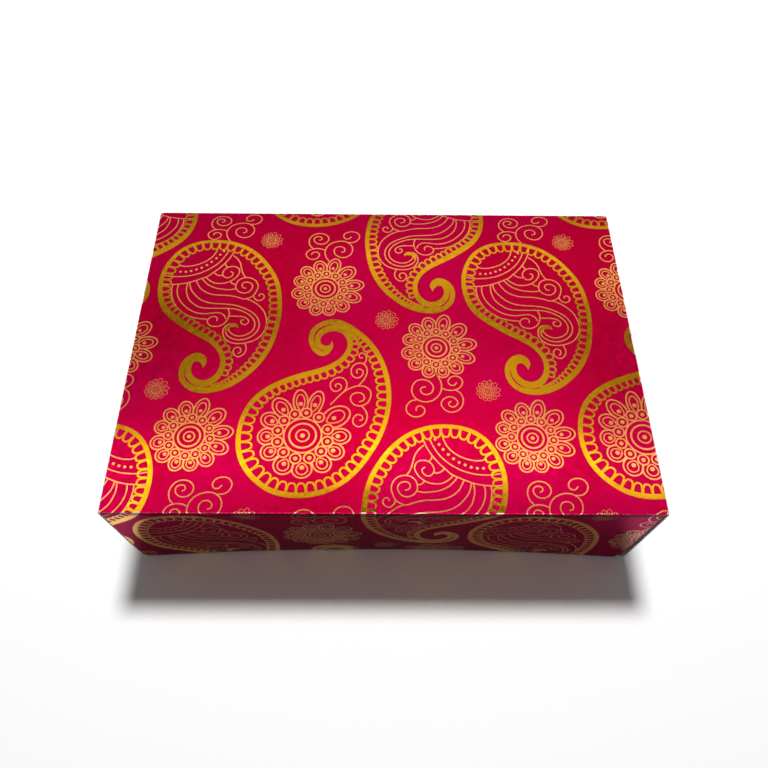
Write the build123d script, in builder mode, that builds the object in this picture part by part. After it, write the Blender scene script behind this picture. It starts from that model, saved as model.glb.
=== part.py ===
from build123d import *
import math
import os
from dataclasses import dataclass
from types import SimpleNamespace
from typing import Callable

# A two-piece folding carton for sweets: a base tray and a lid as deep as the base, each folded
# from one creased blank. The long walls are one board thick. Each end is rolled: an outer panel,
# a hem round its free edge and an inner panel, which hold the long walls' corner flaps between
# them. X runs along the box, the front faces -Y and +Z is up, in millimetres. The origin is the
# middle of the base's underside.

# Board
board = 0.6
crease_radius = 0.5
layer_gap = 0.15
crease_gap = 0.1

# Lid, as it stands closed
lid_length = 230.0
lid_depth = 162.0
box_height = 62.0
foot_gap = 0.8
wall_bow = 3.6

# Rolled ends of the lid: the slack inside the outer panel at its crease, and how far that panel
# leans out at its hem. The right end of this box has sprung open a little.
left_slack = 0.15
right_slack = 1.1
left_splay = 0.0
right_splay = 1.4
hem_lift = 1.0
lining_gap = 0.8

# The left hem's cut ends: how far they are set back from the long walls, and how far up the outer
# panel the slanted cut runs. The long walls' free corners are rounded there, by an arc that starts
# and ends a little outside the wall. The right hem is cut square and reaches both long walls.
left_setback = 1.6
left_setback_rise = 4.0
left_corner_radius = 4.0
corner_overshoot = 0.1

# Thumb notches, in the free edges of the lid's long walls
notch_mouth = 29.0
notch_width = 24.0
notch_height = 3.0

# Reliefs, where the long walls' free corners clear a hem that is cut square
relief_gap = 0.3
relief_flare = 1.2

# Corner flaps
flap_length_share = 0.26
flap_taper = 5.0
flap_corner = 4.0
flap_gap = 0.4

# Base, inside the lid
end_clearance = 0.8
wall_clearance = 0.8
hem_clearance = 0.3

# Lock tabs of the base's inner end panels
tab_width = 18.0
tab_place_share = 0.25
tab_recess = 0.1
tab_corner = 0.2
slot_clearance = 0.15

# How far a cutter runs past what it cuts
overrun = 10.0


@dataclass
class End:
    """One rolled end: side is -1 on the left and 1 on the right. A hem with no setback is cut
    square."""
    side: int
    slack: float
    splay: float
    setback: float = 0.0
    setback_rise: float = 0.0
    corner_radius: float = 0.0


@dataclass
class Tray:
    """A folded blank. Heights in it count from the outer face of its large panel, and level gives
    the place of a height along Z. way is 1 where the walls stand up from the panel, or -1."""
    name: str
    length: float
    depth: float
    wall_height: float
    end_height: float
    bow: float
    left: End
    right: End
    level: Callable
    way: int


lid = Tray(
    name="lid",
    length=lid_length,
    depth=lid_depth,
    wall_height=box_height - foot_gap,
    end_height=box_height - foot_gap - hem_lift,
    bow=wall_bow,
    left=End(-1, left_slack, left_splay, left_setback, left_setback_rise, left_corner_radius),
    right=End(1, right_slack, right_splay),
    level=lambda height: box_height - height,
    way=-1,
)

thickest_end = 3 * board + max(left_slack, right_slack) + layer_gap
base = Tray(
    name="base",
    length=lid_length - 2 * (thickest_end + end_clearance),
    depth=lid_depth - 2 * (board + wall_bow + wall_clearance),
    wall_height=box_height - board,
    end_height=box_height - board - hem_clearance,
    bow=0.0,
    left=End(-1, layer_gap, 0.0),
    right=End(1, layer_gap, 0.0),
    level=lambda height: height,
    way=1,
)


def layers(tray, end):
    """The places across a rolled end, counted outwards from the middle of the tray, and the height
    at which its hem begins."""
    crease = tray.length / 2
    lip = crease + end.splay
    flap = crease - board - end.slack
    lining = flap - board - layer_gap
    inside = lining - board
    radius = (lip - inside) / 2
    return SimpleNamespace(
        crease=crease,
        lip=lip,
        flap=flap,
        lining=lining,
        inside=inside,
        radius=radius,
        middle=(lip + inside) / 2,
        hem=tray.end_height - radius,
    )


def large_panel(tray):
    """The lid's top or the base's bottom, with its outer edges rounded by the creases."""
    with BuildPart() as panel:
        with BuildSketch(Plane.XY.offset(tray.level(0))):
            Rectangle(tray.length, tray.depth)
        extrude(amount=tray.way * board)
        outer_face = panel.faces().sort_by(Axis.Z)[0 if tray.way > 0 else -1]
        fillet(outer_face.edges(), crease_radius)
    return panel


def bottom_panel(tray):
    """The base's bottom, with a slot for each lock tab."""
    solid = large_panel(tray).part
    with BuildPart() as panel:
        add(solid)
        for end in (tray.left, tray.right):
            slot_middle = end.side * (layers(tray, end).lining - board / 2)
            with BuildSketch(Plane.XY.offset(tray.level(0))):
                with Locations(*[(slot_middle, place) for place in tab_places(tray)]):
                    Rectangle(board + 2 * slot_clearance, tab_width + 2 * slot_clearance)
            extrude(amount=board, mode=Mode.SUBTRACT)
    return panel


def tab_places(tray):
    """Where the lock tabs stand along Y."""
    return [side * tab_place_share * tray.depth for side in (-1, 1)]


def face_line(start, end, bow):
    """One face of a long wall, seen along Z: straight, or bowed by that much along Y."""
    if bow == 0:
        return Line(start, end)
    return ThreePointArc(start, ((start[0] + end[0]) / 2, start[1] + bow), end)


def wall_section(tray, height, face, inwards, bow):
    """A long wall's section at a height of the tray. face is its outer side along its crease, and
    inwards is the way from there to the middle of the tray."""
    left = -layers(tray, tray.left).flap
    right = layers(tray, tray.right).flap
    back = face + inwards * board
    with BuildSketch(Plane.XY.offset(tray.level(height))) as section:
        with BuildLine():
            face_line((left, face), (right, face), inwards * bow)
            Line((right, face), (right, back))
            face_line((right, back), (left, back), inwards * bow)
            Line((left, back), (left, face))
        make_face()
    return section.sketch.face()


def notch_cutter(tray):
    """A thumb notch, drawn in the plane of a long wall, with slanted ends."""
    edge = tray.level(tray.wall_height)
    past = edge + tray.way * overrun
    roof = edge - tray.way * notch_height
    Polygon(
        (-notch_mouth / 2, past),
        (-notch_mouth / 2, edge),
        (-notch_width / 2, roof),
        (notch_width / 2, roof),
        (notch_mouth / 2, edge),
        (notch_mouth / 2, past),
        align=None,
    )


def relief_cutter(tray, end):
    """The room for a hem at a free corner of a long wall, drawn in the plane of the wall. It flares
    towards the free edge."""
    across = layers(tray, end)
    inner = end.side * (across.inside - relief_gap)
    mouth = inner - end.side * relief_flare
    outer = end.side * (across.flap + overrun)
    roof = tray.level(across.hem - relief_gap)
    edge = tray.level(tray.wall_height)
    past = edge + tray.way * overrun
    Polygon((mouth, past), (mouth, edge), (inner, roof), (outer, roof), (outer, past), align=None)


def corner_waste(tray, end, plane):
    """What is cut away outside a rounded free corner of a long wall."""
    outer = end.side * layers(tray, end).flap
    edge = tray.level(tray.wall_height)
    inner = outer - end.side * end.corner_radius
    roof = edge - tray.way * end.corner_radius
    diagonal = end.corner_radius / math.sqrt(2)
    start = (outer + end.side * corner_overshoot, roof)
    stop = (inner, edge + tray.way * corner_overshoot)
    far, past = outer + end.side * overrun, edge + tray.way * overrun
    with BuildSketch(plane) as waste:
        with BuildLine():
            ThreePointArc(start, (inner + end.side * diagonal, roof + tray.way * diagonal), stop)
            Polyline(stop, (inner, past), (far, past), (far, roof), start)
        make_face()
    return waste.sketch


def long_wall(tray, side, notched):
    """A long wall, straight along its crease and bowed in along its free edge. side is -1 for the
    front and 1 for the back."""
    face = side * tray.depth / 2
    crease = wall_section(tray, board, face, -side, 0.0)
    free_edge = wall_section(tray, tray.wall_height, face, -side, tray.bow)
    before_wall = Plane.XZ.offset(overrun - face)
    with BuildPart() as wall:
        loft([crease, free_edge], ruled=True)
        for end in (tray.left, tray.right):
            if end.setback > 0:
                extrude(corner_waste(tray, end, before_wall), amount=-2 * overrun, mode=Mode.SUBTRACT)
                continue
            with BuildSketch(before_wall):
                relief_cutter(tray, end)
            extrude(amount=-2 * overrun, mode=Mode.SUBTRACT)
        if notched:
            with BuildSketch(before_wall):
                notch_cutter(tray)
            extrude(amount=-2 * overrun, mode=Mode.SUBTRACT)
    return wall


def outer_end(tray, end):
    """The outer panel of a rolled end, from its crease to its hem."""
    across = layers(tray, end)
    crease, hem = tray.level(board), tray.level(across.hem)
    with BuildPart() as panel:
        with BuildSketch(Plane.XZ.offset(tray.depth / 2)):
            Polygon(
                (end.side * across.crease, crease),
                (end.side * (across.crease - board), crease),
                (end.side * (across.lip - board), hem),
                (end.side * across.lip, hem),
                align=None,
            )
        extrude(amount=-tray.depth)
        if end.setback > 0:
            rise = tray.level(across.hem - end.setback_rise)
            half = tray.depth / 2
            with BuildSketch(Plane.YZ.offset(end.side * (across.crease - overrun / 2))):
                for way in (-1, 1):
                    Polygon(
                        (way * half, rise),
                        (way * (half - end.setback), hem),
                        (way * half, hem),
                        align=None,
                    )
            extrude(amount=end.side * overrun, mode=Mode.SUBTRACT)
    return panel


def end_hem(tray, end):
    """The hem: the board turned through a half circle round the free edge of a rolled end."""
    across = layers(tray, end)
    middle, hem = end.side * across.middle, tray.level(across.hem)
    with BuildPart() as roll:
        with BuildSketch(Plane.XZ.offset(tray.depth / 2 - end.setback)):
            with Locations((middle, hem)):
                Circle(across.radius)
                Circle(across.radius - board, mode=Mode.SUBTRACT)
            with Locations((middle, hem - tray.way * across.radius / 2)):
                Rectangle(2 * across.radius, across.radius, mode=Mode.SUBTRACT)
        extrude(amount=2 * end.setback - tray.depth)
    return roll


def inner_end(tray, end, tabbed):
    """The inner panel of a rolled end, plain or with lock tabs into the large panel."""
    across = layers(tray, end)
    middle_plane = Plane.YZ.offset(end.side * (across.lining - board / 2))
    with BuildPart() as lining:
        with BuildSketch(middle_plane):
            with Locations((0, tray.level((board + across.hem) / 2))):
                Rectangle(tray.depth - 2 * (board + lining_gap), across.hem - board)
        extrude(amount=board / 2, both=True)
        for place in tab_places(tray) if tabbed else []:
            with BuildSketch(middle_plane) as tab:
                with Locations((place, tray.level((board + tab_recess) / 2))):
                    Rectangle(tab_width, board - tab_recess)
                fillet(tab.vertices().group_by(Axis.Y)[0], tab_corner)
            extrude(amount=board / 2, both=True)
    return lining


def corner_flap(tray, end, side):
    """A long wall's corner flap, turned in behind the outer panel of a rolled end. side is -1 at
    the front and 1 at the back."""
    across = layers(tray, end)
    crease = side * (tray.depth / 2 - board - crease_gap)
    tip = crease - side * flap_length_share * tray.depth
    low, high = board + flap_gap, across.hem - flap_gap
    middle_plane = Plane.YZ.offset(end.side * (across.flap - board / 2))
    with BuildPart() as flap:
        with BuildSketch(middle_plane) as outline:
            Polygon(
                (crease, tray.level(low)),
                (tip, tray.level(low + flap_taper)),
                (tip, tray.level(high - flap_taper)),
                (crease, tray.level(high)),
                align=None,
            )
            fillet(outline.vertices().group_by(Axis.X)[0 if side > 0 else -1], flap_corner)
        extrude(amount=board / 2, both=True)
    return flap


def fold_up(tray, panel_name, panel, closed_by_tabs):
    """Every panel of a tray, by the name of its node."""
    pieces = {panel_name: panel}
    for side, face in ((-1, "front"), (1, "back")):
        pieces[f"{face}_wall"] = long_wall(tray, side, notched=not closed_by_tabs)
    for end, hand in ((tray.left, "left"), (tray.right, "right")):
        pieces[f"{hand}_end"] = outer_end(tray, end)
        pieces[f"{hand}_hem"] = end_hem(tray, end)
        pieces[f"{hand}_lining"] = inner_end(tray, end, tabbed=closed_by_tabs)
        for side, face in ((-1, "front"), (1, "back")):
            pieces[f"{face}_{hand}_flap"] = corner_flap(tray, end, side)
    return {f"{tray.name}_{name}": piece for name, piece in pieces.items()}


pieces = fold_up(lid, "top", large_panel(lid), closed_by_tabs=False)
pieces |= fold_up(base, "bottom", bottom_panel(base), closed_by_tabs=True)

os.makedirs("parts", exist_ok=True)
for name, piece in pieces.items():
    piece.part.label = name
    export_step(piece.part, f"parts/{name}.step")
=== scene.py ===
import math
from collections import Counter
import bpy
import numpy as np
from mathutils import Matrix, Vector, geometry


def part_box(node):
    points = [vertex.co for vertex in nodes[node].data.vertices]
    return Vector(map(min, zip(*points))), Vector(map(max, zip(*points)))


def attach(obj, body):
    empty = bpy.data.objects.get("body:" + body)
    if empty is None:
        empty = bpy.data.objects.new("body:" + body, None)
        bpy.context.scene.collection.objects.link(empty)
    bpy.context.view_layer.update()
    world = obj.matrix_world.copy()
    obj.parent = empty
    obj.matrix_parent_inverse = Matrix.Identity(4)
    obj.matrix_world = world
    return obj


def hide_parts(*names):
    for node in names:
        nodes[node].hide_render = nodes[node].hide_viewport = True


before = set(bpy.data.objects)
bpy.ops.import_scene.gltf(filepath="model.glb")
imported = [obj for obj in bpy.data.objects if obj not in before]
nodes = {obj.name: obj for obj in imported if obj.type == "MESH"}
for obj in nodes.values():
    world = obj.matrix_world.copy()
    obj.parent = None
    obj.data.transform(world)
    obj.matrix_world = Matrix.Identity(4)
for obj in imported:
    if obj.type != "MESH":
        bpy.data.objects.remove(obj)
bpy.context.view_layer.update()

# The lid's print is drawn in millimetres on the flat sheet: x from the left edge of the top and
# y from its back edge, on over the front crease. What has mm in its name or in its sum is in
# millimetres, and the materials and the stage are in metres.
mm = 0.001

# Widths of the foil's lines, and the distance between two samples of a curve, in millimetres
thin_line = 0.52
petal_line = 0.66
small_line = 0.19
arch_line = 0.78
sample_step = 0.7


def box_mm(node):
    """A node's lowest and highest corner."""
    return [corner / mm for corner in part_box(node)]


def spline(points, closed=False, step=sample_step):
    """A smooth line through points of any number of values, sampled about every step."""
    if closed:
        padded = [points[-1], *points, points[0], points[1]]
    else:
        first = tuple(2 * a - b for a, b in zip(points[0], points[1]))
        last = tuple(2 * b - a for a, b in zip(points[-2], points[-1]))
        padded = [first, *points, last]
    line = []
    for before, start, end, after in zip(padded, padded[1:], padded[2:], padded[3:]):
        parts = max(1, round(math.dist(start[:2], end[:2]) / step))
        for part in range(parts):
            t = part / parts
            line.append(tuple(
                0.5 * (2 * b + (c - a) * t + (2 * a - 5 * b + 4 * c - d) * t ** 2
                       + (3 * b - a - 3 * c + d) * t ** 3)
                for a, b, c, d in zip(before, start, end, after)
            ))
    return line if closed else line + [tuple(points[-1])]


def normals(line, closed=False):
    """The unit vector to the left of the way at each point of a line."""
    before, after = (line[-1], line[0]) if closed else (line[0], line[-1])
    result = []
    for a, b in zip([before, *line], [*line[1:], after]):
        dx, dy = b[0] - a[0], b[1] - a[1]
        size = math.hypot(dx, dy) or 1.0
        result.append((dy / size, -dx / size))
    return result


def strip(left, right, closed=False):
    """The four-sided shapes between two lines."""
    if closed:
        left, right = left + left[:1], right + right[:1]
    return [(a, b, d, c) for a, b, c, d in zip(left, left[1:], right, right[1:])]


def lengths_along(line):
    """How far along a line each of its points lies."""
    return np.cumsum([0.0, *(math.dist(a, b) for a, b in zip(line, line[1:]))])


def stroke(points, width=thin_line, closed=False, step=sample_step):
    """A line of even width, or as wide as the points say where they have a third value."""
    line = spline(points, closed, step)
    sides = normals(line, closed)
    halves = [(p[2] if len(p) > 2 else width) / 2 for p in line]
    left, right = (
        [(p[0] + way * n[0] * half, p[1] + way * n[1] * half) for p, n, half in zip(line, sides, halves)]
        for way in (1, -1)
    )
    return strip(left, right, closed)


def strokes(lines):
    return [shape for line in lines for shape in stroke(line)]


def circle(x, y, radius, sides):
    turns = [math.tau * k / sides for k in range(sides)]
    return [(x + radius * math.cos(turn), y + radius * math.sin(turn)) for turn in turns]


def dot(x, y, radius, sides=10):
    return [circle(x, y, radius, sides)]


def ring(x, y, radius, width, sides=None):
    sides = sides or max(10, round(math.tau * radius / sample_step))
    outer, inner = (circle(x, y, radius + way * width / 2, sides) for way in (1, -1))
    return strip(outer, inner, closed=True)


# A border's arches: their pitch as a share of their depth, less a little, the steps of one arch,
# how upright its legs are, how blunt its top is and what share of its pitch it takes
pitch_share, pitch_less = 1.04, 0.1
arch_steps, arch_step = 9, 5
leg_power, top_power, width_share = 0.7, 0.6, 0.92


def border(outline, first, last):
    """A paisley's border: a band inside its outline and a row of arches inside the band. The
    outline's points are x, y, band width and arch depth, with the paisley to the left of the way,
    and the arches run between two of its points."""
    line = spline(outline)
    sides = normals(line)
    inner = [(p[0] + n[0] * p[2], p[1] + n[1] * p[2]) for p, n in zip(line, sides)]
    shapes = strip([p[:2] for p in line], inner)
    lengths = lengths_along(inner)
    columns = list(zip(*((*p, *n, q[3]) for p, n, q in zip(inner, sides, line))))

    def place(s):
        return [np.interp(s, lengths, column) for column in columns]

    def length_at(point):
        return lengths[min(range(len(line)), key=lambda i: math.dist(line[i][:2], point[:2]))]
    s, end = length_at(outline[first]), length_at(outline[last])
    while s < end:
        depth = place(s)[4]
        pitch = pitch_share * depth - pitch_less
        arch = []
        for k in range(arch_steps + 1):
            turn = math.pi * (k / arch_steps)
            leg = math.copysign(abs(math.cos(turn)) ** leg_power, math.cos(turn))
            x, y, nx, ny, _ = place(s + pitch * (0.5 - 0.5 * leg * width_share))
            reach = depth * math.sin(turn) ** top_power
            arch.append((x + nx * reach, y + ny * reach))
        shapes += stroke(arch, arch_line, step=arch_step)
        s += pitch
    return shapes


# The paisley with flowing lines inside, as it lies on the left of the lid. Outline from the tip of
# its hook: x, y, band width, arch depth
flowing_outline = [
    (33.6, 93.7, 0.2, 0), (34.7, 90.8, 1.6, 0), (34.1, 88.2, 2.2, 0), (32.5, 86.5, 2.4, 0),
    (30.5, 85.7, 2.5, 0), (28, 86.2, 2.5, 0), (25.5, 88, 2.6, 0), (23.6, 90.9, 2.5, 0),
    (22.9, 94.4, 2.4, 0), (23.2, 97.9, 2.4, 0), (24.4, 101, 2.4, 0), (26.9, 103.9, 2.5, 0),
    (30.2, 105.8, 2.8, 0), (34.5, 106.7, 3, 0.6), (38.8, 106.4, 3, 0.9), (43, 105.2, 2.9, 1.3),
    (47.4, 103, 2.7, 2.1), (51.6, 99.8, 2.6, 2.6), (55.9, 95.5, 2.5, 3.1), (59.4, 90.6, 2.4, 3.3),
    (62.3, 85, 2.3, 3.6), (64.4, 78.6, 2.2, 3.7), (65.8, 71, 2.1, 3.8), (66.4, 63.5, 2, 3.7),
    (66.1, 56, 2.1, 3.7), (65, 48.5, 2.1, 3.8), (62.9, 42, 2, 4), (60.1, 36.7, 2.1, 4),
    (56.5, 31.4, 2.1, 4.1), (52.3, 26.8, 2, 4.1), (47.3, 22.9, 2, 4.1), (41.8, 20.3, 2, 4.2),
    (36, 18.8, 1.9, 4.2), (30, 18.5, 1.8, 4.2), (24, 19.2, 1.8, 4.2), (18.3, 21.3, 1.9, 4.3),
    (13.5, 24.9, 1.9, 4.3), (10, 29.8, 2, 4.3), (7.6, 35.5, 2, 4.1), (6.3, 41.5, 2, 4), (6.2, 48, 2.1, 3.7),
    (7.3, 54.8, 2.3, 3.5), (9.8, 60.8, 2.7, 3.2), (13.4, 65.4, 3, 3.1), (18.9, 70, 3.1, 3.1),
    (25.7, 74.7, 3, 3.1), (31, 77.8, 2.8, 3.2), (35.5, 80.9, 2.4, 3.3), (38.6, 84.3, 2.2, 3.3),
    (40.4, 88, 2.2, 3.2), (40.9, 91.8, 2.3, 2.9), (40.1, 95.5, 2.6, 2.1), (38, 98.5, 3.1, 0.9),
    (34.9, 100.1, 3.4, 0), (31.5, 99.4, 3.2, 0), (29, 97, 2.8, 0), (28.1, 93.9, 2.6, 0), (28.8, 91, 2.4, 0),
    (30.5, 90.2, 2.3, 0), (32, 91, 1.5, 0), (33.6, 93.7, 0.2, 0),
]

flowing_lines = [
    # the two lines of the collar and the one under it
    [(32.1, 23.9), (31.6, 26), (30.1, 29.2), (27.3, 32.1), (23.7, 34.2), (19.4, 35.4), (15.9, 35.3),
     (14.2, 34.3)],
    [(37.8, 24.8), (36.6, 28.1), (34.4, 32.1), (31.6, 35.3), (28, 38.1), (23.7, 40.3), (18.7, 41.6),
     (13, 41.9), (8.5, 41.2)],
    [(40.4, 25.6), (39.1, 29.2), (36.6, 33.5), (34.1, 36.7), (31.9, 38.9), (29.4, 41.4), (26.4, 43),
     (23.3, 44.4), (19.8, 45.7), (15.6, 46.5), (11.2, 46.7), (8, 46.5)],
    # the curls at the right
    [(40.2, 28.4), (42.3, 30.3), (44.1, 33.1), (45.1, 36.7), (46.2, 39.9), (47.6, 42)],
    [(36.8, 33.1), (37.3, 34.9), (38.5, 36)],
    [(40.4, 44.6), (42.8, 42.4), (44.3, 39.2), (43.7, 36.7), (41.6, 35.4), (38.8, 35.7), (36.9, 37.4),
     (36.2, 39.9), (37.3, 41.9), (39.1, 42.4), (40.9, 41.2), (41.2, 39.4), (39.9, 38.5)],
    [(31.9, 38.9), (32.6, 39.9), (34.4, 41), (36.6, 41)],
    [(28.3, 41.9), (29.5, 43.4), (31.2, 44.7), (33.3, 45.7), (35.8, 45.9), (38.4, 45.5), (40.6, 44.5)],
    [(40.4, 44.6), (41.2, 45.7), (43.2, 46.5)],
    [(49.2, 54.9), (51.2, 54), (52.4, 52.9), (53.6, 50.3), (54.1, 47.6), (53.3, 45), (51.5, 43.1),
     (48.9, 42.2), (46.2, 42.6), (44.2, 44.2), (43.4, 46.5), (43.6, 48.8), (45.1, 50.7), (47.4, 51.6),
     (49.8, 51), (51.2, 49.1), (51.4, 47.1), (50.4, 45.6), (48.6, 45), (46.9, 45.4), (46.3, 46.8),
     (46.9, 48.3), (48.5, 48.7)],
    [(52.4, 52.9), (53, 54.7), (54.8, 56), (56.8, 55.4), (57.6, 53.6), (56.7, 52.2), (55.4, 52.2),
     (54.9, 53.5)],
    # the flowing lines
    [(26.7, 43), (28.3, 45), (30.6, 47.1), (33.9, 48.7), (37.4, 49.4), (40.9, 49.6), (43.6, 49.1)],
    [(24, 44.2), (25.1, 46.5), (26.8, 49.1), (29.5, 51.2), (32.7, 52.5), (36.2, 52.9), (40.4, 53.1),
     (44.5, 54), (47.4, 55), (49.5, 55.2), (52.7, 56.8), (55.6, 59.1), (58, 62.1), (59.3, 65.3),
     (59.9, 68.5), (59.7, 72), (58.3, 75.3), (56.4, 77.7), (53.3, 79.5), (49.2, 80.5), (45.1, 80.2),
     (42.1, 78.5), (40.4, 75.8), (40.2, 72.9), (41.2, 70.7), (43, 69.4)],
    [(21.1, 45.3), (21.4, 47.4), (22.4, 50), (24.5, 52.8), (27.1, 55.3), (30.6, 57.1), (34.5, 57.9),
     (39.2, 58.2), (43.9, 58.8), (48, 60.3), (51.5, 62.1), (54.2, 64.4), (56, 67.4), (56.6, 70.6),
     (55.8, 73.8), (53.6, 76.5), (50.6, 78.1), (47.4, 78.5), (44.4, 77.6), (42, 75.6), (41.2, 73)],
    [(20.2, 45.5), (19.9, 48.8), (20.5, 52.1), (21.8, 55.3), (24.2, 57.9), (27.4, 60), (31.5, 60.7),
     (36.2, 60.7), (40.9, 60.7), (45.1, 61.2), (49.2, 62.9), (52.4, 65.3), (54.2, 68.2), (54.5, 71.2),
     (53.3, 73.9), (50.6, 75.8), (47.4, 76.4), (44.6, 75.3), (42.8, 73.2), (42.6, 71.6)],
    [(15.8, 46.5), (15.6, 50), (16.6, 54), (18.8, 57.6), (22.2, 61), (26.4, 63.3), (30.7, 63.9),
     (34.2, 63.4), (37.4, 63.3), (39.8, 64.9), (40.6, 66.8)],
    [(13, 46.6), (13, 50.5), (14, 55), (16.3, 59.4), (19.5, 62.8), (23.6, 65.4), (27.8, 66.6), (32.1, 67)],
    [(41.2, 60.9), (42, 63.5), (41.6, 66.8), (40, 69.6), (37.1, 71.1), (33.9, 70.6), (32.2, 68.4),
     (33.1, 66.2), (35.3, 65.4), (36.7, 66.4), (36.6, 68)],
    [(42, 65.2), (45.7, 65.2), (49, 65.6), (51, 67), (51.4, 68.8), (49.8, 70), (48, 69), (48.1, 67.4),
     (49.3, 67.3)],
    [(50.8, 80.1), (51.8, 83.2), (51.1, 86), (48.8, 87.7), (46.6, 86.5), (46.1, 84), (47.6, 82.5),
     (49.2, 83.2), (49.4, 85), (48.4, 86)],
]

flowing_head = [(46.9, 71.8, 0.3), (46.2, 70.7, 1.5), (44.6, 70.2, 2.1), (42.8, 70.8, 1.9),
                (41.7, 72.3, 1.5), (41.5, 74, 0.9)]

collar_dots = [(35.3, 25.6), (33.7, 28), (32.1, 30.3), (30, 32.6), (27.9, 34.6), (25.6, 36.3), (23.2, 37.4),
               (20.7, 38.4), (18.2, 38.9), (15.6, 38.9)]

# The paisley with a flower inside
flower_outline = [
    (90.7, 79, 0.2, 0), (90, 80.8, 1.5, 0), (88.6, 81.5, 2.4, 0), (86.8, 81.1, 2.6, 0),
    (85.6, 79.7, 2.6, 0), (85.4, 77.7, 2.6, 0), (86.4, 75.6, 2.8, 0), (88.6, 74, 3.2, 0),
    (91.8, 73.3, 3.4, 0), (95, 74.4, 3.1, 0.9), (97.1, 76.9, 2.7, 2.1), (98, 80.1, 2.4, 2.9),
    (97.5, 83.6, 2.3, 3.2), (95.7, 86.9, 2.3, 3.4), (92.9, 89.7, 2.4, 3.4), (88.9, 92.2, 2.6, 3.4),
    (84.3, 94, 2.7, 3.2), (78.6, 95.8, 2.8, 3.1), (72.9, 97.9, 2.8, 3.2), (67.1, 100.7, 2.6, 3.4),
    (62.1, 104, 2.4, 3.6), (57.9, 108, 2.3, 4), (54.9, 112.6, 2.1, 4.2), (52.9, 118, 2, 4.4),
    (51.9, 123.8, 2, 4.4), (51.8, 129.6, 2.1, 4.5), (52.6, 134.8, 2.1, 4.6), (54.4, 139.8, 2.2, 4.8),
    (57.4, 144.6, 2.2, 4.8), (61.4, 148.8, 2.2, 4.6), (66.4, 152.4, 2.2, 4.4), (72.1, 154.6, 2.3, 4.1),
    (78.4, 155.4, 2.3, 4.1), (84.4, 155, 2.3, 4.1), (90.1, 153.6, 2.2, 4.1), (95.7, 150.9, 2.1, 4.1),
    (100.7, 147.1, 2, 4.1), (105.2, 142.2, 2, 4.2), (109.4, 136, 2, 4.2), (112.9, 129.6, 2, 4.2),
    (115.4, 123.1, 2, 4.1), (117, 116.6, 2, 4.1), (117.8, 110.2, 2, 4.1), (117.7, 103.8, 2.1, 4),
    (116.9, 97.6, 2.2, 3.9), (115.4, 91.7, 2.2, 3.8), (113.2, 86.1, 2.3, 3.5), (110.4, 81.1, 2.4, 3.1),
    (107.1, 76.8, 2.6, 2.6), (103.2, 72.9, 2.8, 1.7), (99.3, 69.8, 2.9, 1.1), (95.7, 67.7, 3, 0.7),
    (92.1, 66.7, 3, 0.4), (88.4, 67, 2.9, 0), (85, 68.5, 2.6, 0), (82.1, 71, 2.4, 0), (80.5, 74, 2.3, 0),
    (80, 77.6, 2.3, 0), (80.8, 81.3, 2.4, 0), (82.6, 84.5, 2.5, 0), (85, 86.5, 2.6, 0),
    (87.3, 86.9, 2.6, 0), (89.4, 85.8, 2.5, 0), (90.8, 83.6, 2.2, 0), (91.4, 81.4, 1.6, 0),
    (90.7, 79, 0.2, 0),
]

flower_lines = [
    [(91.2, 112.2), (93.9, 109), (96.4, 106.2), (99.3, 104), (102.9, 102.7), (106.3, 103), (108.5, 105),
     (108.9, 107.6), (107.7, 110.8), (105, 112.6), (102, 112.3), (100.1, 110), (100.3, 107.6),
     (102.2, 106.2), (104.5, 106.3), (106, 107.9), (105.6, 110), (103.8, 110.7)],
    [(104.8, 112.7), (106.6, 115), (107.4, 118.1), (106.4, 121.3), (103.9, 122.9), (101.6, 121.6),
     (101.4, 118.9), (103.1, 117), (105.2, 117.7), (105.3, 119.4), (104, 119.8)],
    [(95.8, 106.8), (97.3, 105.1), (98.2, 102.7), (97.8, 100.1), (95.7, 98.4), (92.9, 98.8), (91, 101.1),
     (91.2, 103.9), (93, 105.5), (95.1, 104.7), (95.8, 102.9), (94.6, 101.6), (93.2, 102), (93.4, 103.3)],
    [(103.2, 102.7), (104.9, 100.6), (106.3, 98.2), (107.1, 95.4), (106.7, 92.6), (105, 90.9),
     (102.5, 90.9), (100.5, 92.6), (99.9, 95.4), (101, 97.8), (103.2, 98.5), (105, 97), (105.2, 94.9),
     (103.7, 93.8), (102.3, 94.7), (102.8, 96.2)],
    [(105.4, 91.2), (106.6, 89.3), (106.4, 86.5), (104.7, 85.2), (103.4, 86.3), (103.8, 87.9),
     (105.1, 87.7)],
]

# A spray of four curls, as it stands over the flower
spray = [
    [(88, 32), (86.2, 29.3), (85.4, 26.1), (86.1, 22.9), (88.3, 20.2), (91.9, 18.7), (95.4, 18.9),
     (98.2, 21), (99.1, 24), (98.2, 27.2), (95.6, 29.1), (92.7, 28.9), (90.5, 27.1), (89.9, 24.6),
     (91.1, 22.6), (93.4, 22.2), (95.1, 23.5), (95.1, 25.2), (93.5, 25.9)],
    [(96.8, 19.5), (99.7, 19.2), (101.9, 17.2), (102.3, 14.6), (100.6, 12.4), (97.6, 12), (95.2, 13.2),
     (94.4, 15.3), (95.4, 16.9), (97.2, 16.8), (98.3, 15.5)],
    [(85.8, 24.9), (83.4, 23.8), (80.4, 23.6), (77.6, 24.7), (76.1, 27.1), (77.2, 29.6), (79.7, 30.6),
     (82, 29.4), (82.7, 27.2), (81.1, 25.8), (79.3, 26.3), (78.8, 27.6)],
    [(79.4, 23.6), (77.7, 21.4), (77.2, 18.2), (78.5, 15.1), (81.4, 13.4), (84.7, 13.8), (86.8, 16),
     (86.6, 18.7), (84.4, 20.5), (81.6, 20.4), (79.8, 18.6), (79.8, 16.6), (81.3, 15.5), (83.1, 15.8),
     (83.6, 17.3), (82.2, 18.2)],
]

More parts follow.
